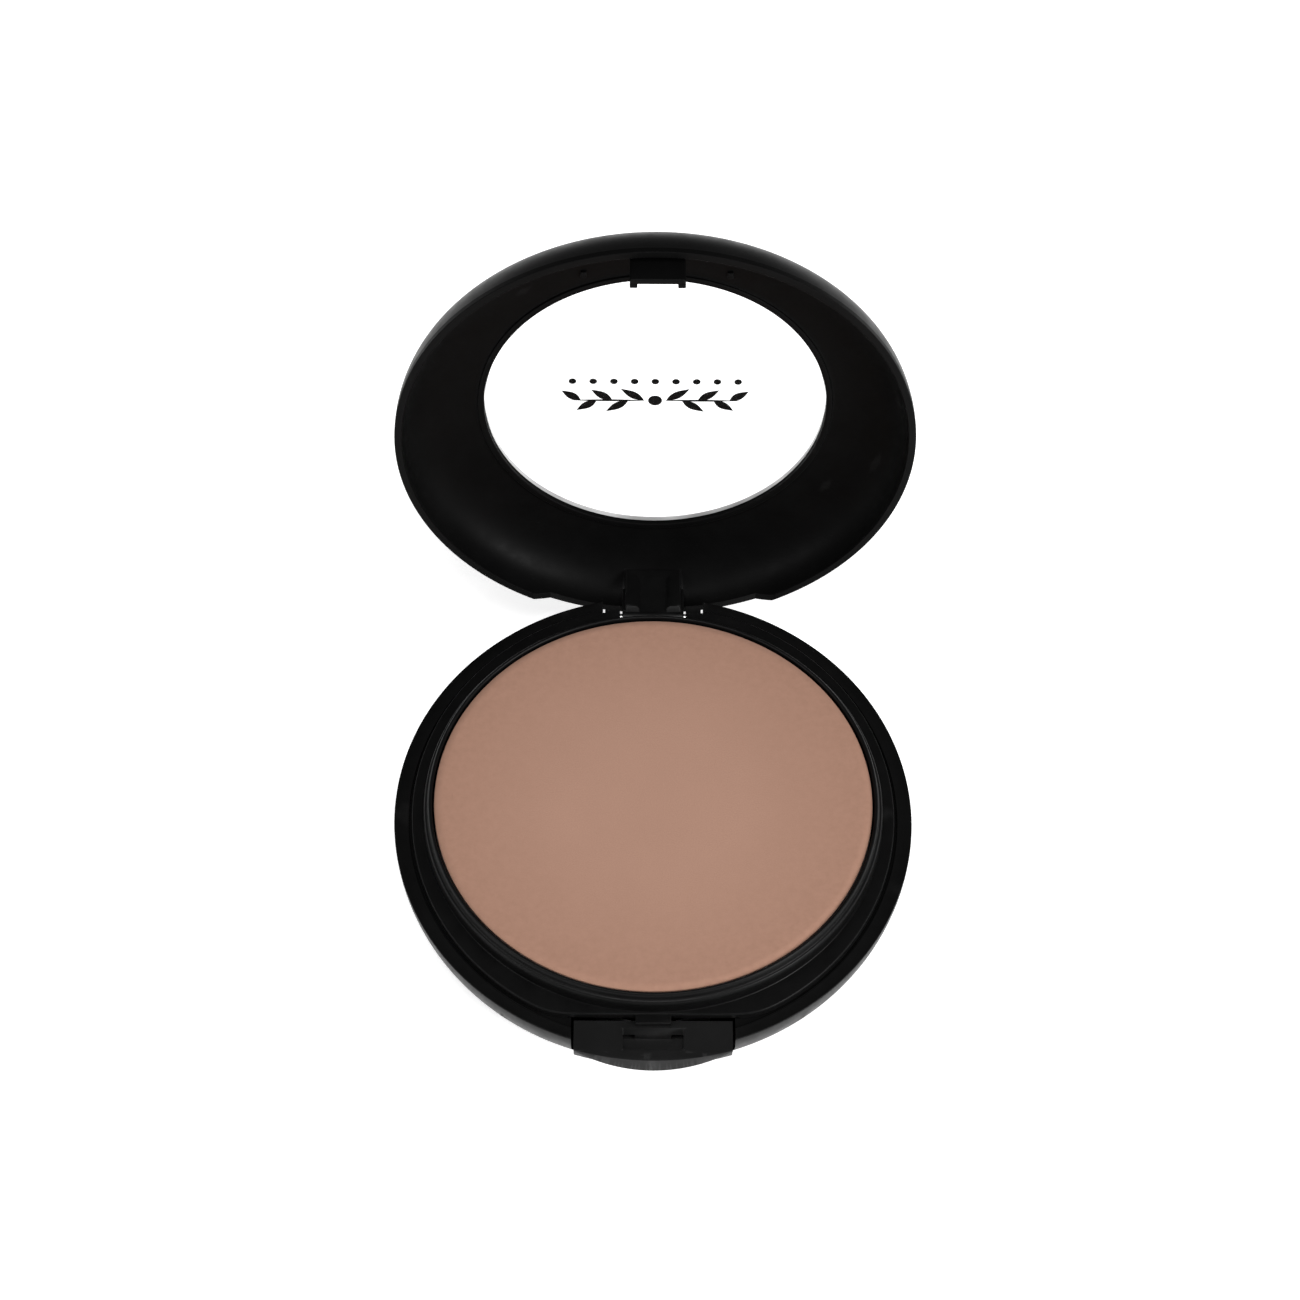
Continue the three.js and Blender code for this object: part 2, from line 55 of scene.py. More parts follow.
# ---- driving dimensions ------------------------------------------------------------------------
SEGMENTS = 192  # round a full turn
STRETCH = 1.035  # depth over width
HALF_WIDTH = 35.0
RIM_Z = 10.6
OUT, FAR = 40.0, 45.0  # past the outside of the case, for cutting tools
BASE_FLAT_R, BASE_BELLY, BASE_FLOOR, BASE_WALL = 25.9, 1.95, 1.5, 1.8
SHELF_R, SHELF_DROP, SHELF_DEPTH = 31.4, 0.35, 1.6
RIM_FLAT_R, RIM_ROUND, RIM_START = 33.5, 0.28, 0.3  # the rim's level top and its rounded edge
PARTITION_HALF, PARTITION_THICK = 20.0, 1.0  # wall between the puff well and the button

TRAY_HALF_WIDTH, TRAY_HALF_DEPTH, TRAY_GAP = 32.6, 34.25, 0.35
TRAY_CHORD, TRAY_TOP, TRAY_UNDER = 31.35, 0.95, -0.25
WELL_R, WELL_FLOOR, COLLAR_R = 29.75, 0.45, 30.95
TRAY_EDGE = ((0.0, 0.3), (0.04, 0.14), (0.13, 0.04), (0.28, 0.0))  # inset and drop of its edge
TRAY_FRONT_Y, TRAY_FRONT_UNDER, TRAY_BACK_Y = 29.2, 0.12, 32.9  # thin over the button
TAB_HALF, TAB_REACH, TAB_ROOT, TAB_TOP = 2.35, 1.2, 0.4, 0.8
PAN_R, PAN_WALL, PAN_BOTTOM, PAN_TOP, POWDER_TOP = 29.5, 0.35, 0.75, 3.5, 4.1

HINGE_Y, HINGE_DROP, BORE_R, EYE_R = 33.76, 1.45, 0.61, 1.3
HINGE_GAP_HALF, HINGE_GAP_DEPTH, HINGE_GAP_FRONT = 7.0, 4.6, 30.9
BOSS_HALF, BOSS_FRONT, BOSS_BACK, BOSS_DEPTH = 10.4, 31.6, 36, 2  # thick part of the back wall, round the pin
LUG_HALF, LUG_FRONT, LUG_BACK, LUG_ROOM = 3.9, 31.7, 35.6, 0.3
LUG_TOP_FRONT, LUG_TOP_BACK, LUG_JOIN, LUG_HEEL = 5.8, 7.2, 1.6, 34.9
RECESS_HALF, RECESS_TOP, WEB_HALF, WEB_TOP = 2.6, 4.9, 1.9, 4.2
WEB_FACE, WEB_FACE_LOW = 32.0, 32.45
FOOT_HALF, FOOT_FRONT, FOOT_TOP = 4.3, 32.3, 2.6
KNUCKLE_IN, KNUCKLE_OUT, KNUCKLE_ARM, CHEEK_FRONT, CHEEK_BACK = 4.6, 6.7, 31.2, 0.5, 1.1
PIN_HALF_LENGTH = 9.4
OPEN_ANGLE = 95.3

LID_GAP, LID_HALF_WIDTH, LID_WALL, LID_HEIGHT, LID_CEILING = 0.15, 35.0, 1.02, 9.4, 7.7
LID_FLAT_R, LID_BELLY = 20.5, 2.47
WINDOW_R, WINDOW_LIP, WINDOW_SEAT_R, WINDOW_SEAT_Z = 23.15, 0.85, 24.4, 8.5
PANE_TOP = LID_HEIGHT - 0.05
LID_NOTCH_HALF, LID_NOTCH_RAMP, LID_NOTCH_DEPTH = 14.4, 2.4, 1.35
RIB_X, RIB_HALF, RIB_FRONT, RIB_BACK, RIB_DROP = 9.6, 0.4, -25.7, -24.6, 0.85

BUTTON_HALF, BUTTON_BACK, BUTTON_PROUD = 10.4, 31.7, 1.4
BUTTON_TOP, BUTTON_LOW, BUTTON_LIP_LOW, LIP_LOW, LIP_ARC_R = -0.05, -4.6, -2.75, -3.0, 23.6
BUTTON_SKIN, SLOT_CLEARANCE, SLOT_DEPTH, PARTITION_Y = 0.65, 0.35, 4.95, 29.6
POCKET_HALF, POCKET_BACK, POCKET_FRONT, POCKET_LOW = 4.0, 32.75, 35.95, -3.05
CATCH_BACK, CATCH_TOP = 32.3, -1.9
HOOK_HALF, HOOK_Y, HOOK_THICK, HOOK_REACH = 3.6, 33.15, 0.9, 2.9
BARB, BARB_IN, BARB_TOP = 0.6, 2.6, -2.2

EDGE = 0.12  # softening of moulded edges

# ---- mesh helpers ------------------------------------------------------------------------------
ANGLES = np.linspace(0, 2 * math.pi, SEGMENTS, endpoint=False)


def row(rx, z, ry=None):
    """A ring of points, rx and ry across, at height z."""
    ry = rx * STRETCH if ry is None else ry
    return np.column_stack([rx * np.cos(ANGLES), ry * np.sin(ANGLES), np.full(SEGMENTS, z)])


def pole(z):
    return np.array([[0.0, 0.0, z]])


def polar(radii, z):
    return np.column_stack([radii * np.cos(ANGLES), radii * np.sin(ANGLES), np.full(SEGMENTS, z)])


def object_of(name, bm):
    bmesh.ops.recalc_face_normals(bm, faces=bm.faces)
    mesh = bpy.data.meshes.new(name)
    bm.to_mesh(mesh)
    bm.free()
    obj = bpy.data.objects.new(name, mesh)
    bpy.context.scene.collection.objects.link(obj)
    return obj


def loft(name, rows, closed=False):
    """Joins rings and poles, in order, into one closed surface."""
    bm = bmesh.new()
    rings = [[bm.verts.new(Vector(p) * MM) for p in points] for points in rows]
    pairs = list(zip(rings, rings[1:]))
    if closed:
        pairs.append((rings[-1], rings[0]))
    for a, b in pairs:
        for i in range(SEGMENTS):
            j = (i + 1) % SEGMENTS
            corners = [a[i % len(a)], a[j % len(a)], b[j % len(b)], b[i % len(b)]]
            bm.faces.new(list(dict.fromkeys(corners)))
    return object_of(name, bm)


def rounded(points, steps=4):
    """A profile of (r, z, radius) with each corner turned into a short curve."""
    out = []
    for i, (r, z, radius) in enumerate(points):
        p = np.array((r, z))
        if radius <= 0 or i in (0, len(points) - 1):
            out.append(p)
            continue
        a = np.array(points[i - 1][:2]) - p
        b = np.array(points[i + 1][:2]) - p
        la, lb = np.linalg.norm(a), np.linalg.norm(b)
        cut = min(radius, 0.49 * la, 0.49 * lb)
        start, end = p + a / la * cut, p + b / lb * cut
        for t in np.linspace(0, 1, steps + 1):
            out.append((1 - t) ** 2 * start + 2 * t * (1 - t) * p + t * t * end)
    return out


def belly(rim_r, flat_r, depth, power, steps):
    """Quarter of a rounded-square curve from the rim to the flat, as (r, depth)."""
    a = np.linspace(0, math.pi / 2, steps + 1)
    c, s = np.maximum(np.cos(a), 0), np.sin(a)
    return list(zip(flat_r + (rim_r - flat_r) * c ** (2 / power), depth * s ** (2 / power)))


PLACES = {
    "x": lambda u, v, w: (w, u, v),
    "y": lambda u, v, w: (u, w, v),
    "z": lambda u, v, w: (u, v, w),
}


def extrude(bm, outline, low, high, axis="z"):
    place = PLACES[axis]
    ends = [[bm.verts.new(Vector(place(u, v, w)) * MM) for u, v in outline] for w in (low, high)]
    for end in ends:
        bm.faces.new(end)
    for i in range(len(outline)):
        j = (i + 1) % len(outline)
        bm.faces.new([ends[0][i], ends[0][j], ends[1][j], ends[1][i]])


def prism(name, outline, low, high, axis="z", edge=0.0):
    """Extrudes an outline. Along z it is (x, y), along x it is (y, z) and along y it is (x, z)."""
    bm = bmesh.new()
    extrude(bm, outline, low, high, axis)
    bmesh.ops.recalc_face_normals(bm, faces=bm.faces)
    if edge:
        sharp = [e for e in bm.edges if e.calc_face_angle(0) > math.radians(35)]
        bmesh.ops.bevel(bm, geom=sharp, offset=edge * MM, segments=3, profile=0.5, affect="EDGES")
    return object_of(name, bm)


def block(x0, x1, y0, y1, z0, z1, edge=0.0):
    return prism("tool", [(x0, y0), (x1, y0), (x1, y1), (x0, y1)], z0, z1, "z", edge)


def circle(u, v, radius, sides=64):
    turns = [2 * math.pi * i / sides for i in range(sides)]
    return [(u + radius * math.cos(a), v + radius * math.sin(a)) for a in turns]


def baked(obj):
    """Turns the object's modifiers into its mesh."""
    graph = bpy.context.evaluated_depsgraph_get()
    mesh = bpy.data.meshes.new_from_object(obj.evaluated_get(graph))
    obj.modifiers.clear()
    obj.data = mesh
    return obj


def combine(obj, tool, operation):
    """Joins, cuts or intersects obj with tool, which is used up."""
    step = obj.modifiers.new("step", "BOOLEAN")
    step.operation, step.solver, step.object = operation, "EXACT", tool
    baked(obj)
    bpy.data.objects.remove(tool)
    return obj


def join(obj, tool):
    return combine(obj, tool, "UNION")


def cut(obj, tool):
    return combine(obj, tool, "DIFFERENCE")


def within(obj, tool):
    return combine(obj, tool, "INTERSECT")


def softened(obj, width=EDGE, angle=38):
    """Rounds the edges that the cuts left sharp."""
    bevel = obj.modifiers.new("edges", "BEVEL")
    bevel.width, bevel.segments, bevel.limit_method = width * MM, 2, "ANGLE"
    bevel.angle_limit = math.radians(angle)
    bevel.use_clamp_overlap = True
    return baked(obj)


def gridded(obj, step):
    """Splits the level faces, so that wear stays along their edges."""
    bm = bmesh.new()
    bm.from_mesh(obj.data)
    bmesh.ops.triangulate(bm, faces=[face for face in bm.faces if len(face.verts) > 4])
    for axis in (0, 1):
        across = Vector((1 - axis, axis, 0))
        along = [vert.co[axis] for vert in bm.verts]
        for at in np.arange(min(along) + step * MM, max(along), step * MM):
            flat = [face for face in bm.faces if abs(face.normal.z) > 0.9999]
            parts = {part for face in flat for part in (*face.verts, *face.edges, face)}
            bmesh.ops.bisect_plane(bm, geom=list(parts), plane_co=across * at, plane_no=across)
    bm.to_mesh(obj.data)
    bm.free()
    return obj


def smooth(obj, angle=32):
    """Smooth shading in which the large flat faces keep their own direction."""
    obj.data.shade_smooth()
    for face in obj.data.polygons:
        face.use_smooth = abs(face.normal.z) < 0.9999
    obj.data.set_sharp_from_angle(angle=math.radians(angle))
    weighted = obj.modifiers.new("flats", "WEIGHTED_NORMAL")
    weighted.keep_sharp, weighted.weight = True, 60
    return obj


def bore(half_length, z):
    return prism("tool", circle(HINGE_Y, z, BORE_R), -half_length, half_length, "x")


# ---- base --------------------------------------------------------------------------------------
def case_outside(grown=0.0):
    """The case's outer shape as a tool, grown sideways by the given amount."""
    side = belly(HALF_WIDTH, BASE_FLAT_R, RIM_Z, BASE_BELLY, 40)
    rows = [row(r + grown, RIM_Z - d) for r, d in reversed(side)]
    return loft("tool", [pole(0), *rows, pole(RIM_Z)])


def make_base():
    """The lower case, turned in one loft and then cut for the button and the hinge."""
    side = belly(HALF_WIDTH, BASE_FLAT_R, RIM_Z, BASE_BELLY, 40)
    outside = [row(r, RIM_Z - d) for r, d in reversed(side) if d > RIM_START]
    rim = rounded([
        (HALF_WIDTH - 0.01, RIM_Z - RIM_START, 0),
        (HALF_WIDTH, RIM_Z, RIM_ROUND),
        (RIM_FLAT_R, RIM_Z, 0),
    ])
    seat_x, seat_y = TRAY_HALF_WIDTH + TRAY_GAP, TRAY_HALF_DEPTH + TRAY_GAP
    seat_low = RIM_Z - SHELF_DROP
    seat = [
        row(seat_x + 0.1, RIM_Z, seat_y + 0.1),
        row(seat_x, RIM_Z - 0.1, seat_y),
        row(seat_x, seat_low, seat_y),
        row(SHELF_R, seat_low),
        row(SHELF_R, RIM_Z - SHELF_DEPTH),
    ]
    cavity = belly(HALF_WIDTH - BASE_WALL, BASE_FLAT_R - 1, RIM_Z - BASE_FLOOR, BASE_BELLY, 32)
    inside = [row(r, RIM_Z - d) for r, d in cavity if d > SHELF_DEPTH]
    rim_rows = [row(r, z) for r, z in rim[:-1]]
    base = loft("case_base", [pole(0), *outside, *rim_rows, *seat, *inside, pole(BASE_FLOOR)])
    boss_low = RIM_Z - HINGE_DROP - BOSS_DEPTH
    boss = block(-BOSS_HALF, BOSS_HALF, BOSS_FRONT, BOSS_BACK, boss_low, seat_low)
    wall_y = (-PARTITION_Y, PARTITION_THICK - PARTITION_Y)
    wall = block(-PARTITION_HALF, PARTITION_HALF, *wall_y, BASE_FLOOR - 0.5, seat_low - 0.1)
    for part in (boss, wall):
        join(base, within(part, case_outside()))
    half, over = BUTTON_HALF + SLOT_CLEARANCE, RIM_Z + 2
    cut(base, block(-half, half, -FAR, -PARTITION_Y, RIM_Z - SLOT_DEPTH, over))
    gap_low = RIM_Z - HINGE_GAP_DEPTH
    cut(base, block(-HINGE_GAP_HALF, HINGE_GAP_HALF, HINGE_GAP_FRONT, FAR, gap_low, over))
    cut(base, bore(PIN_HALF_LENGTH + 0.2, RIM_Z - HINGE_DROP))
    return smooth(base)


# ---- tray --------------------------------------------------------------------------------------
def tray_outline(inset=0.0):
    """Radii of the flange's edge: an ellipse whose front is cut straight."""
    softness = 60
    c, s = np.cos(ANGLES), np.sin(ANGLES)
    oval = 1 / np.hypot(c / TRAY_HALF_WIDTH, s / TRAY_HALF_DEPTH)
    chord = np.where(s < -0.01, TRAY_CHORD / np.maximum(-s, 0.01), 1e6)
    return (oval ** -softness + chord ** -softness) ** (-1 / softness) - inset


def make_knuckle(side):
    """One of the tray's two eyes on the hinge pin, on the side given as 1 or -1."""
    x0, x1 = (KNUCKLE_IN, KNUCKLE_OUT) if side > 0 else (-KNUCKLE_OUT, -KNUCKLE_IN)
    axis_z, top = RIM_Z - HINGE_DROP, RIM_Z + TRAY_UNDER + 0.1
    eye = prism("tool", circle(HINGE_Y, axis_z, EYE_R), x0, x1, "x")
    join(eye, block(x0, x1, KNUCKLE_ARM, HINGE_Y, axis_z - 1, top))
    return join(eye, block(x0, x1, HINGE_Y - CHEEK_FRONT, HINGE_Y + CHEEK_BACK, axis_z, top))


def make_tray():
    """The flange, the stepped collar and the well in one loft, with the hinge and latch cuts."""
    low, top = RIM_Z + TRAY_UNDER, RIM_Z + TRAY_TOP
    edge = [polar(tray_outline(inset), top - drop) for inset, drop in TRAY_EDGE]
    flange = [polar(tray_outline(), low), *edge]
    collar = rounded([
        (COLLAR_R + 0.1, TRAY_TOP, 0),
        (COLLAR_R, TRAY_TOP + 0.1, 0.1),
        (COLLAR_R, 2.6, 0.3),
        (COLLAR_R - 0.16, 3.1, 0.3),
        (COLLAR_R - 0.5, 3.2, 0.14),
        (COLLAR_R - 0.58, 3.9, 0.22),
        (COLLAR_R - 0.8, 4.25, 0.24),
        (COLLAR_R - 1.08, 4.2, 0.16),
        (WELL_R, 4.0, 0.14),
        (WELL_R, WELL_FLOOR, 0.05),
        (WELL_R - 0.1, WELL_FLOOR, 0),
    ])
    ridge = [row(r, RIM_Z + z, r) for r, z in collar]
    tray = loft("powder_tray", [pole(low), *flange, *ridge, pole(RIM_Z + WELL_FLOOR)])
    over, under = RIM_Z + 6, RIM_Z + TRAY_FRONT_UNDER
    room = BUTTON_HALF + 0.8
    cut(tray, block(-room, room, -OUT, -TRAY_FRONT_Y, RIM_Z - 2, under))
    back = HINGE_GAP_HALF + 0.6
    cut(tray, block(-back, back, TRAY_BACK_Y, OUT, low, over))
    tab = [-TRAY_CHORD - TAB_REACH, TAB_ROOT - TRAY_CHORD]
    join(tray, block(-TAB_HALF, TAB_HALF, *tab, under, RIM_Z + TAB_TOP, 0.1))
    join(tray, make_knuckle(1))
    join(tray, make_knuckle(-1))
    room = FOOT_HALF + LUG_ROOM
    cut(tray, block(-room, room, LUG_FRONT - LUG_ROOM, OUT, RIM_Z - 6, over))
    cut(tray, bore(KNUCKLE_OUT + 1, RIM_Z - HINGE_DROP))
    return smooth(tray)


# ---- powder and puff ---------------------------------------------------------------------------
def make_powder():
    """A level pressed disc that spreads over the pan's edge and rounds down to it."""
    r = PAN_R - PAN_WALL - 0.05
    low, brim, top = PAN_BOTTOM + PAN_WALL + 0.05, PAN_TOP + 0.05, POWDER_TOP
    profile = rounded([
        (r - 0.3, low, 0),
        (r, low + 0.3, 0.1),
        (r, brim, 0),
        (PAN_R, brim, 0.05),
        (PAN_R, top - 0.28, 0.2),
        (PAN_R - 0.75, top - 0.02, 0.55),
        (PAN_R - 2.4, top, 0.4),
        (PAN_R - 4, top, 0),
    ], 6)
    rows = [row(x, RIM_Z + z, x) for x, z in profile]
    flat = [row(x, RIM_Z + top, x) for x in np.linspace(PAN_R - 6, 1.5, 12)]
    return smooth(loft("pressed_powder", [pole(RIM_Z + low), *rows, *flat, pole(RIM_Z + top)]), 60)


def make_puff():
    """A crowned foam disc with a soft edge and slightly uneven faces, inside its CAD solid."""
    low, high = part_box("puff")
    radius, bottom, top = high.x / MM - 0.15, low.z / MM + 0.05, high.z / MM - 0.05
    middle, half = (bottom + top) / 2, (top - bottom) / 2
    random = np.random.default_rng(7)
    waves = [(k, random.uniform(0, 2 * math.pi), 0.16 / k) for k in (2, 3, 5)]
    wobble = sum(w * (1 + np.cos(k * ANGLES + p)) / 2 for k, p, w in waves)
    rows = [pole(bottom + 0.1)]
    for t in np.linspace(0.06, 0.94, 30):
        a = math.pi * t - math.pi / 2
        share = math.cos(a) ** 0.22
        on_side = abs(t - 0.5) < 0.28
        spread = radius - 2.6 * (1 - math.cos(a) ** 0.7) if on_side else radius * share * 0.97
        height = middle + half * math.sin(a) * (0.86 + 0.1 * abs(math.sin(a)))
        rows.append(polar(np.maximum(spread - wobble * share, 0.5), height))
    rows.append(pole(top - 0.1))
    return smooth(loft("foam_puff", rows), 80)


# ---- lid, made shut with its rim at height 0 ---------------------------------------------------
def lid_outside():
    """The lid's outer shape as a tool."""
    side = belly(LID_HALF_WIDTH, LID_FLAT_R, LID_HEIGHT, LID_BELLY, 48)
    return loft("tool", [pole(0), *[row(r, z) for r, z in side], pole(LID_HEIGHT)])


def lid_profile():
    """The lid's cross-section: dome, window seat, inner lip, inside and rim, as (r, z)."""
    outer = belly(LID_HALF_WIDTH, LID_FLAT_R, LID_HEIGHT, LID_BELLY, 64)
    inner = belly(LID_HALF_WIDTH - LID_WALL, LID_FLAT_R - 0.5, LID_CEILING, LID_BELLY, 56)
    lip_r = WINDOW_R + WINDOW_LIP
    outer = [(r, z) for r, z in outer if z > 0.25 and r > WINDOW_SEAT_R + 0.15]
    inner = [(r, z) for r, z in inner if z > 0.2 and r > lip_r + 0.1]
    ring = rounded([
        (*outer[-1], 0),
        (WINDOW_SEAT_R, outer[-1][1], 0.1),
        (WINDOW_SEAT_R, WINDOW_SEAT_Z, 0),
        (WINDOW_R, WINDOW_SEAT_Z, 0.05),
        (WINDOW_R, LID_CEILING - 0.5, 0.16),
        (lip_r, LID_CEILING - 0.5, 0.16),
        (lip_r, inner[-1][1] - 0.05, 0.08),
        (*inner[-1], 0),
    ])
    rim = rounded([
        (inner[0][0], 0.2, 0),
        (LID_HALF_WIDTH - LID_WALL, 0, 0.15),
        (LID_HALF_WIDTH, 0, 0.22),
        (outer[0][0], 0.25, 0),
    ])
    return outer + [tuple(p) for p in ring[1:-1]] + inner[::-1] + [tuple(p) for p in rim]


def make_lug():
    """An upright lug on a wider foot that turns on the pin, outlined as (y, z)."""
    axis_z = -HINGE_DROP - LID_GAP
    upper = [
        (LUG_FRONT, 0.1),
        (LUG_BACK, 0.1),
        (LUG_BACK, LUG_TOP_BACK),
        (LUG_FRONT, LUG_TOP_FRONT),
    ]
    lug = within(prism("tool", upper, -LUG_HALF, LUG_HALF, "x", 0.22), lid_outside())
    lower = [
        (LUG_FRONT, LUG_JOIN),
        (LUG_FRONT, axis_z + 0.6),
        (HINGE_Y - EYE_R, axis_z - 0.3),
        (LUG_HEEL, axis_z),
        (LUG_HEEL, LUG_JOIN),
    ]
    join(lug, prism("tool", lower, -LUG_HALF, LUG_HALF, "x", 0.22))
    foot = [
        (FOOT_FRONT, FOOT_TOP),
        (FOOT_FRONT, axis_z),
        (LUG_HEEL, axis_z),
        (LUG_HEEL, FOOT_TOP),
    ]
    join(lug, prism("tool", foot, -FOOT_HALF, FOOT_HALF, "x", 0.15))
    eye = circle(HINGE_Y, axis_z, EYE_R)
    join(lug, prism("tool", eye, -FOOT_HALF, FOOT_HALF, "x", 0.1))
    cut(lug, make_recess(axis_z - 2))
    return cut(lug, bore(FOOT_HALF + 1, axis_z))


def make_recess(low):
    """The hollow in the lug's face, with sloping sides and head."""
    half = [(RECESS_HALF, 30), (RECESS_HALF, LUG_FRONT), (WEB_HALF, WEB_FACE), (WEB_HALF, 33)]
    across = [*half, *((-x, y) for x, y in reversed(half))]
    side = [
        (30, low),
        (WEB_FACE_LOW, low),
        (WEB_FACE, WEB_TOP),
        (LUG_FRONT, RECESS_TOP),
        (30, RECESS_TOP),
    ]
    recess = prism("tool", across, low, RECESS_TOP, "z")
    return within(recess, prism("tool", side, -LUG_HALF, LUG_HALF, "x"))


def make_hook():
    """The plate that drops into the button's pocket, with a barb at each corner."""
    hook = block(-HOOK_HALF, HOOK_HALF, -HOOK_Y - HOOK_THICK, -HOOK_Y, -HOOK_REACH, 5, 0.3)
    for x0, x1 in ((BARB_IN, HOOK_HALF), (-HOOK_HALF, -BARB_IN)):
        join(hook, block(x0, x1, -HOOK_Y - 0.1, BARB - HOOK_Y, -HOOK_REACH, BARB_TOP, 0.15))
    room = lid_outside()
    join(room, block(-HOOK_HALF - 1, HOOK_HALF + 1, -FAR, -20, -10, 1))
    return within(hook, room)


def make_notch():
    """The cut in the lid's rim over the hinge, with sloped ends."""
    ramp = LID_NOTCH_HALF + LID_NOTCH_RAMP
    half, depth = LID_NOTCH_HALF, LID_NOTCH_DEPTH
    outline = [(-ramp, -1), (ramp, -1), (ramp, 0), (half, depth), (-half, depth), (-ramp, 0)]
    return prism("tool", outline, 20, FAR, "y")


def opened(obj):
    """Turns a piece that was made shut about the hinge, to where the lid stands."""
    joint = next(j for j in frame["joints"] if j["name"] == "lid_hinge")
    shut = Matrix.Translation((0, -HINGE_Y * MM, (HINGE_DROP + LID_GAP) * MM))
    turn = Matrix.Rotation(-math.radians(OPEN_ANGLE), 4, "X")
    obj.data.transform(Matrix.Translation(joint["pos_m"]) @ turn @ shut)
    return obj


def paint_outside(lid):
    """Gives the dome's outer side and the lug the second material slot; the rest keeps the first, a darker
    and less glossy copy of the same black that paints shade inside the lid.
    """
    outer = belly(LID_HALF_WIDTH, LID_FLAT_R, LID_HEIGHT, LID_BELLY, 64)
    radii, heights = (np.array(v) for v in zip(*reversed(outer)))
    for face in lid.data.polygons:
        x, y, z = face.center / MM
        r = math.hypot(x, y / STRETCH)
        near = r > LID_FLAT_R and z > np.interp(r, radii, heights) - 0.12
        lug = abs(x) < FOOT_HALF + 0.1 and y > LUG_FRONT - 0.1 and z < 5.7
        face.material_index = int(lug or near and z > 0.2)
    return lid


def make_lid():
    """The dome with its notch, ribs, lug and hook."""
    lid = loft("lid_dome", [row(r, z) for r, z in lid_profile()], closed=True)
    cut(lid, make_notch())
    low, high = LID_CEILING - RIB_DROP, LID_CEILING + 0.4
    for x in (-RIB_X, RIB_X):
        join(lid, block(x - RIB_HALF, x + RIB_HALF, RIB_FRONT, RIB_BACK, low, high, 0.12))
    join(lid, make_lug())
    join(lid, make_hook())
    return opened(smooth(paint_outside(lid)))


def make_window():
    """The clear disc: a plug in the lid's opening and a flange in its seat."""
    plug, flange = WINDOW_R - 0.1, WINDOW_SEAT_R - 0.15
    low, step, top = LID_CEILING + 0.1, WINDOW_SEAT_Z + 0.05, PANE_TOP
    profile = rounded([
        (plug - 1, low, 0),
        (plug, low, 0.12),
        (plug, step, 0),
        (flange, step, 0.05),
        (flange, top, 0.22),
        (flange - 1, top, 0),
    ])
    rows = [row(r, z) for r, z in profile]
    window = loft("lid_pane", [pole(low), *rows, pole(top)])
    # the disc's side faces take the second slot, a nearly opaque pale grey: a painted glint standing in for
    # the light that refraction brings to the edge
    for face in window.data.polygons:
        face.material_index = int(abs(face.normal.z) < 0.7)
    return opened(smooth(window))


def leaf(x, y, length, width, angle):
    """Outline of a pointed leaf that starts at x, y."""
    steps = 12
    points = []
    for side in (1, -1):
        for t in np.linspace(0, 1, steps, endpoint=False):
            u = t if side > 0 else 1 - t
            points.append((u * length, side * width * math.sin(math.pi * u) * (1.25 - 0.5 * u)))
    c, s = math.cos(angle), math.sin(angle)
    return [(x + c * u - s * v, y + s * u + c * v) for u, v in points]


def make_ornament():
    """A printed sprig of leaves over a row of dots, on the outside of the pane."""
    stem_y, dots_y, dots_reach, lean = 1.1, -2.6, 11.2, 0.62
    shapes = []
    for side in (-1, 1):
        for i in range(5):
            tilt = lean if i % 2 else -lean
            angle = tilt if side > 0 else math.pi - tilt
            shapes.append(leaf(side * (1.5 + 2.15 * i), stem_y, 3.9 - 0.18 * i, 0.62, angle))
        shapes.append(leaf(side * 1.1, stem_y, side * 11.0, 0.17, 0))
    shapes.append(circle(0, stem_y, 0.95, 32))
    shapes += [circle(x, dots_y, 0.52, 24) for x in np.linspace(-dots_reach, dots_reach, 9)]
    low = PANE_TOP + 0.004
    bm = bmesh.new()
    for outline in shapes:
        extrude(bm, outline, low, low + 0.03)
    return opened(object_of("pane_ornament", bm))


# ---- latch -------------------------------------------------------------------------------------
def button_plan():
    """The button's outline seen from above, with its front following the case's curve."""
    a, b = HALF_WIDTH + BUTTON_PROUD, HALF_WIDTH * STRETCH + BUTTON_PROUD
    across = np.linspace(-BUTTON_HALF, BUTTON_HALF, 49)
    front = [(x, -b * math.sqrt(1 - (x / a) ** 2)) for x in across]
    return [(BUTTON_HALF, -BUTTON_BACK), (-BUTTON_HALF, -BUTTON_BACK), *front]


def make_button():
    """The thumb lip and the body under it, with the hook's pocket."""
    top, arc_z = RIM_Z + BUTTON_TOP, RIM_Z + BUTTON_LIP_LOW + LIP_ARC_R
    button = prism("push_button", button_plan(), RIM_Z + LIP_LOW, top)
    within(button, prism("tool", circle(0, arc_z, LIP_ARC_R, 256), -OUT, -31, "y"))
    body = block(-BUTTON_HALF, BUTTON_HALF, -OUT, -BUTTON_BACK, RIM_Z + BUTTON_LOW, top)
    join(button, within(body, case_outside(BUTTON_SKIN)))
    low = RIM_Z + POCKET_LOW
    room = [-POCKET_FRONT, -POCKET_BACK, low, RIM_Z + 1]
    cut(button, block(-POCKET_HALF, POCKET_HALF, *room, 0.16))
    for x0, x1 in ((BARB_IN - 0.2, POCKET_HALF), (-POCKET_HALF, 0.2 - BARB_IN)):
        cut(button, block(x0, x1, -POCKET_FRONT, -CATCH_BACK, low, RIM_Z + CATCH_TOP))
    button = gridded(softened(button), 0.7)
    near = 0.1
    # the pocket's lower faces take the second slot, a paler copy of the button's black: painted light that
    # makes the deep pocket read as lit
    for face in button.data.polygons:
        x, y, z = face.center / MM
        inside = abs(x) < POCKET_HALF + near and -POCKET_FRONT - near < y < near - POCKET_BACK
        face.material_index = int(inside and z < top - 0.4)
    return smooth(button)


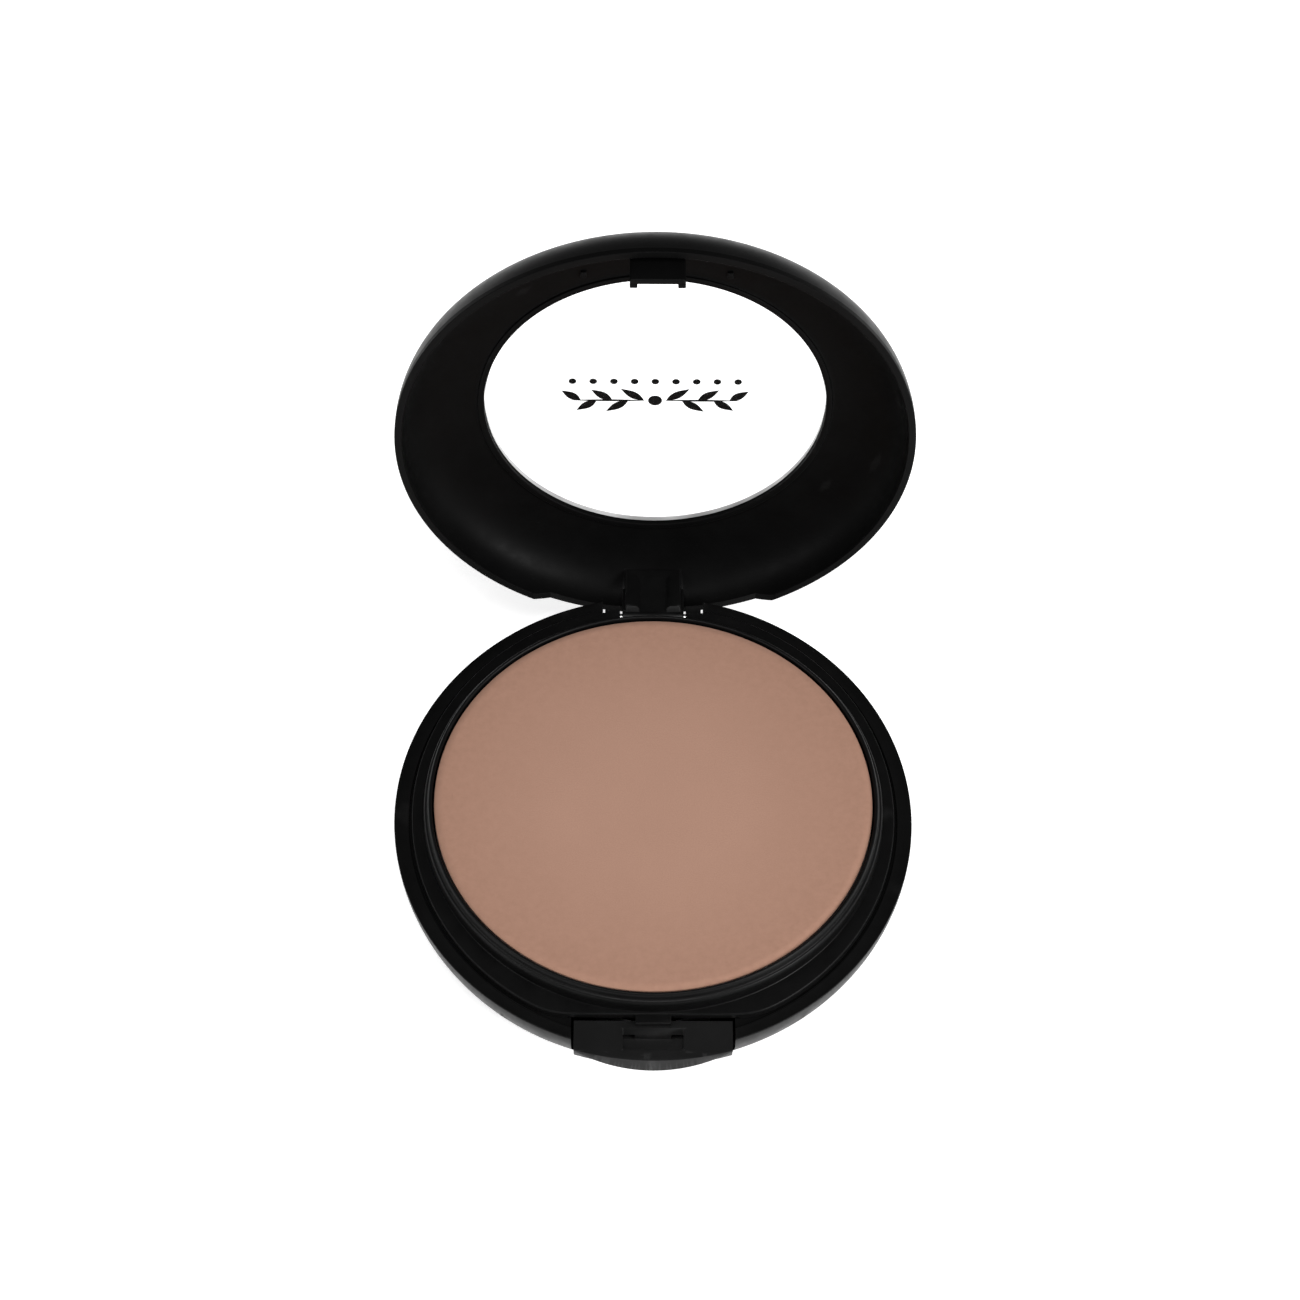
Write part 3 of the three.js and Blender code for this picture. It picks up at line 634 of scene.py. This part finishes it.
# ---- materials ---------------------------------------------------------------------------------
class Finish:
    """A node material built in metres on the object's own coordinates."""

    def __init__(self, name):
        self.material = bpy.data.materials.new(name)
        self.material.use_nodes = True
        self.tree = self.material.node_tree
        self.shader = self.tree.nodes["Principled BSDF"]
        self.place = self.add("ShaderNodeTexCoord").outputs["Object"]

    def add(self, kind, **settings):
        node = self.tree.nodes.new(kind)
        for key, value in settings.items():
            setattr(node, key, value)
        return node

    def link(self, source, target):
        self.tree.links.new(source, target)

    def put(self, **values):
        for name, value in values.items():
            self.shader.inputs[name.replace("_", " ")].default_value = value

    def noise(self, size_mm, detail=3.0, rough=0.55, stretch=(1, 1, 1)):
        node = self.add("ShaderNodeTexNoise")
        node.inputs["Scale"].default_value = 1000 / size_mm
        node.inputs["Detail"].default_value = detail
        node.inputs["Roughness"].default_value = rough
        source = self.place
        if stretch != (1, 1, 1):
            mapping = self.add("ShaderNodeMapping")
            mapping.inputs["Scale"].default_value = stretch
            self.link(source, mapping.inputs["Vector"])
            source = mapping.outputs["Vector"]
        self.link(source, node.inputs["Vector"])
        return node.outputs["Fac"]

    def ramp(self, source, stops):
        node = self.add("ShaderNodeValToRGB")
        while len(node.color_ramp.elements) < len(stops):
            node.color_ramp.elements.new(0.5)
        for element, (at, colour) in zip(node.color_ramp.elements, stops):
            element.position, element.color = at, (*colour, 1)
        self.link(source, node.inputs["Fac"])
        return node.outputs["Color"]

    def spread(self, source, low, high, start=0.3, end=0.7):
        node = self.add("ShaderNodeMapRange")
        limits = {"From Min": start, "From Max": end, "To Min": low, "To Max": high}
        for key, value in limits.items():
            node.inputs[key].default_value = value
        self.link(source, node.inputs["Value"])
        return node.outputs["Result"]

    def mix(self, factor, a, b):
        node = self.add("ShaderNodeMix", data_type="RGBA")
        self.link(factor, node.inputs["Factor"])
        self.link(a, node.inputs["A"])
        self.link(b, node.inputs["B"])
        return node.outputs["Result"]

    def edges(self):
        """1 along raised edges, from the mesh's own curvature."""
        curvature = self.add("ShaderNodeNewGeometry").outputs["Pointiness"]
        return self.spread(curvature, 0, 1, 0.53, 0.62)

    def bump(self, height, distance_mm, strength=1.0, after=None):
        node = self.add("ShaderNodeBump")
        node.inputs["Strength"].default_value = strength
        node.inputs["Distance"].default_value = distance_mm * MM
        self.link(height, node.inputs["Height"])
        if after is not None:
            self.link(after, node.inputs["Normal"])
        return node.outputs["Normal"]

    def colour(self, source):
        self.link(source, self.shader.inputs["Base Color"])

    def roughness(self, source):
        self.link(source, self.shader.inputs["Roughness"])

    def normal(self, source):
        self.link(source, self.shader.inputs["Normal"])


def black_plastic(name, dark, light, rough, level):
    """Moulded black plastic with a fine satin grain, soft flow marks and rubbed edges."""
    f = Finish(name)
    body = f.ramp(f.noise(6, 4), [(0.35, (dark,) * 3), (0.68, (light,) * 3)])
    wear_and_shade = f.ramp(f.noise(0.6, 2), [(0.3, (light * 1.6,) * 3), (0.7, (light * 2.4,) * 3)])
    f.colour(f.mix(f.edges(), body, wear_and_shade))
    f.roughness(f.spread(f.noise(1.8, 5), rough - 0.05, rough + 0.06))
    grain = f.bump(f.noise(0.09, 2), 0.004, 0.5)
    f.normal(f.bump(f.noise(9, 2), 0.03, 0.35, grain))
    f.put(Specular_IOR_Level=level)
    return f.material


def metal(name, dark, light, rough, stretch=(1, 1, 1)):
    f = Finish(name)
    f.colour(f.ramp(f.noise(0.8, 4, 0.6, stretch), [(0.3, (dark,) * 3), (0.7, (light,) * 3)]))
    f.roughness(f.spread(f.noise(0.5, 3, 0.6, stretch), rough - 0.06, rough + 0.08))
    f.normal(f.bump(f.noise(0.2, 2, 0.5, stretch), 0.006, 0.4))
    f.put(Metallic=1.0)
    return f.material


def pressed_powder():
    """Fine pressed grain, soft clouds, a faint weave from the press cloth, and painted shade that darkens it
    towards the rim.
    """
    f = Finish("pressed_powder")
    cloud = f.ramp(f.noise(14, 3), [(0.3, (0.326, 0.188, 0.136)), (0.7, (0.352, 0.205, 0.149))])
    speck = f.ramp(f.noise(0.16, 2), [(0.3, (0.3, 0.172, 0.123)), (0.72, (0.378, 0.221, 0.162))])
    grained = f.mix(f.spread(f.noise(2.5, 2), 0.35, 0.65), cloud, speck)
    flat = f.add("ShaderNodeMapping")
    flat.inputs["Scale"].default_value = (1, 1, 0)
    from_centre = f.add("ShaderNodeVectorMath", operation="LENGTH")
    f.link(f.place, flat.inputs["Vector"])
    f.link(flat.outputs["Vector"], from_centre.inputs[0])
    # rim is a painted-shade mask: 0 at 12 mm from the centre, rising to 1 at the pan's edge, where a darker
    # powder colour is mixed in
    rim = f.spread(from_centre.outputs["Value"], 0, 1, 12 * MM, PAN_R * MM)
    wear_and_shade = f.ramp(f.noise(0.9, 3), [(0.3, (0.283, 0.158, 0.111)), (0.7, (0.312, 0.176, 0.125))])
    f.colour(f.mix(rim, grained, wear_and_shade))
    f.roughness(f.spread(f.noise(0.4, 3), 0.86, 0.98))
    weave = f.noise(0.5, 1, 0.4, (1, 0.12, 1))
    cloth = f.bump(weave, 0.012, 0.35)
    f.normal(f.bump(f.noise(0.11, 3), 0.02, 0.6, cloth))
    f.put(Specular_IOR_Level=0.15, Sheen_Weight=0.05)
    return f.material


def foam():
    f = Finish("foam")
    f.colour(f.ramp(f.noise(0.5, 4), [(0.3, (0.62, 0.46, 0.33)), (0.7, (0.76, 0.6, 0.46))]))
    f.roughness(f.spread(f.noise(0.7, 3), 0.88, 1.0))
    f.normal(f.bump(f.noise(0.35, 3), 0.08, 0.7))
    f.put(Specular_IOR_Level=0.1, Sheen_Weight=0.2)
    return f.material


def pad():
    f = Finish("adhesive_pad")
    f.colour(f.ramp(f.noise(0.8, 4), [(0.3, (0.7, 0.66, 0.57)), (0.7, (0.84, 0.8, 0.7))]))
    f.roughness(f.spread(f.noise(1.2, 3), 0.5, 0.68))
    f.normal(f.bump(f.noise(0.3, 3), 0.02, 0.5))
    return f.material


def mirror():
    f = Finish("silvered_glass")
    f.colour(f.ramp(f.noise(12, 2), [(0.3, (0.82, 0.85, 0.87)), (0.7, (0.88, 0.9, 0.92))]))
    f.roughness(f.spread(f.noise(5, 3), 0.02, 0.06))
    f.normal(f.bump(f.noise(20, 1), 0.002, 0.2))
    f.put(Metallic=1.0)
    return f.material


def clear_plastic(name, dark, light, alpha, rough, level):
    f = Finish(name)
    f.colour(f.ramp(f.noise(8, 2), [(0.3, (dark,) * 3), (0.7, (light,) * 3)]))
    f.roughness(f.spread(f.noise(3, 3), rough, rough + 0.05))
    f.normal(f.bump(f.noise(12, 1), 0.004, 0.15))
    f.put(Alpha=alpha, Specular_IOR_Level=level)
    return f.material


def print_ink():
    f = Finish("printed_ink")
    f.colour(f.ramp(f.noise(0.5, 3), [(0.3, (0.002,) * 3), (0.7, (0.004,) * 3)]))
    f.roughness(f.spread(f.noise(0.6, 2), 0.55, 0.7))
    f.normal(f.bump(f.noise(0.12, 2), 0.003, 0.4))
    f.put(Specular_IOR_Level=0.05)
    return f.material


# ---- scene -------------------------------------------------------------------------------------
def show(obj, body, material, replaced=None):
    """Puts a finished piece on its body, in place of the CAD node it replaces."""
    obj.data.materials.clear()
    obj.data.materials.append(material)
    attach(obj, body)
    if replaced:
        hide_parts(replaced)
    return obj


def show_two(obj, body, first, second, replaced):
    """As show, for a piece whose faces already say which of two materials they take."""
    slots = [face.material_index for face in obj.data.polygons]
    show(obj, body, first, replaced)
    obj.data.materials.append(second)
    obj.data.polygons.foreach_set("material_index", slots)


def finish_node(name, material):
    """Gives a CAD node that stays in place its material."""
    node = frame["nodes"][name]
    if not node.material_slots:
        node.data.materials.append(material)
    for held in node.material_slots:
        held.material = material


def area_light(name, at, target, size, watts):
    data = bpy.data.lights.new(name, "AREA")
    data.shape, data.size, data.size_y = "RECTANGLE", size[0], size[1]
    data.energy = watts
    light = bpy.data.objects.new(name, data)
    bpy.context.scene.collection.objects.link(light)
    light.location = at
    light.rotation_euler = (Vector(target) - Vector(at)).to_track_quat("-Z", "Y").to_euler()


def make_floor():
    """A white paper floor that is bright enough to fill the background."""
    bm = bmesh.new()
    bmesh.ops.create_grid(bm, x_segments=24, y_segments=24, size=3)
    floor = object_of("floor", bm)
    f = Finish("floor_paper")
    f.colour(f.ramp(f.noise(60, 3), [(0.3, (0.86,) * 3), (0.7, (0.9,) * 3)]))
    f.roughness(f.spread(f.noise(4, 3), 0.75, 0.9))
    f.normal(f.bump(f.noise(0.8, 3), 0.01, 0.3))
    f.put(Emission_Color=(1, 1, 1, 1), Emission_Strength=0.62)
    floor.data.materials.append(f.material)


def make_camera():
    """A long lens over the latch side, aimed near the middle of the rim."""
    data = bpy.data.cameras.new("camera")
    data.lens, data.sensor_width, data.sensor_fit = 112.5, 36, "HORIZONTAL"
    data.clip_start, data.clip_end = 0.01, 20
    camera = bpy.data.objects.new("camera", data)
    bpy.context.scene.collection.objects.link(camera)
    target = Vector((-0.00077, 0, RIM_Z * MM))
    back, up = 0.2941, 0.4648
    turn = Matrix.Rotation(math.radians(-0.74), 4, "Z")
    tilt = Matrix.Rotation(math.radians(34.66), 4, "X")
    roll = Matrix.Rotation(math.radians(0.9), 4, "Z")
    place = Matrix.Translation(target + turn @ Vector((0, -back, up)))
    camera.matrix_world = place @ turn @ tilt @ roll
    bpy.context.scene.camera = camera


def make_light():
    world = bpy.data.worlds.new("surround")
    bpy.context.scene.world = world
    world.use_nodes = True
    background = world.node_tree.nodes["Background"]
    background.inputs["Color"].default_value = (1, 1, 1, 1)
    background.inputs["Strength"].default_value = 0.2
    area_light("soft_left", (-0.62, -0.3, 0.42), (0, 0, 0.01), (0.4, 0.4), 2.4)
    area_light("soft_right", (0.6, -0.42, 0.36), (0, 0, 0.01), (0.35, 0.35), 7.0)
    area_light("soft_top", (0, -0.28, 0.95), (0, 0, 0), (0.45, 0.3), 4.6)
    bpy.context.scene.view_settings.view_transform = "Standard"


make_camera()
make_light()
make_floor()

CASE = black_plastic("black_case", 0.002, 0.003, 0.38, 0.08)
TRAY = black_plastic("black_tray", 0.002, 0.003, 0.4, 0.1)
BUTTON = black_plastic("black_button", 0.0065, 0.0085, 0.42, 0.06)
# a paler copy of the button's black for the pocket's faces: painted light, not wear
POCKET_PAINTED_LIGHT = black_plastic("black_pocket_painted_light", 0.012, 0.016, 0.5, 0.08)
# the same moulded black as the lid's outside, made darker and less glossy: painted shade for the lid's inside
LID_INSIDE_SHADED = black_plastic("black_lid_inside_painted_shade", 0.0018, 0.0024, 0.46, 0.04)
LID_OUTSIDE = black_plastic("black_lid_outside", 0.002, 0.003, 0.38, 0.12)
PANE = clear_plastic("clear_styrene", 0.02, 0.04, 0.03, 0.04, 0.3)
# painted glint for the disc's edge faces, in place of refracted light
PANE_EDGE_PAINTED_GLINT = clear_plastic("clear_styrene_edge_painted_glint", 0.25, 0.6, 0.9, 0.1, 0.5)
STEEL = metal("drawn_steel", 0.5, 0.66, 0.3, (0.1, 1, 1))

show(make_base(), "base", CASE, "base_shell")
show(make_tray(), "base", TRAY, "tray")
show(make_powder(), "base", pressed_powder(), "powder")
puff = show(make_puff(), "base", foam(), "puff")
show_two(make_lid(), "lid", LID_INSIDE_SHADED, LID_OUTSIDE, "lid_shell")
show_two(make_window(), "lid", PANE, PANE_EDGE_PAINTED_GLINT, "lid_window")
show(make_ornament(), "lid", print_ink())
show_two(make_button(), "button", BUTTON, POCKET_PAINTED_LIGHT, "button")

finish_node("pan", metal("pressed_aluminium", 0.58, 0.72, 0.38))
finish_node("hinge_pin", STEEL)
finish_node("button_spring", STEEL)
finish_node("mirror", mirror())
finish_node("pan_adhesive", pad())
finish_node("mirror_adhesive", pad())
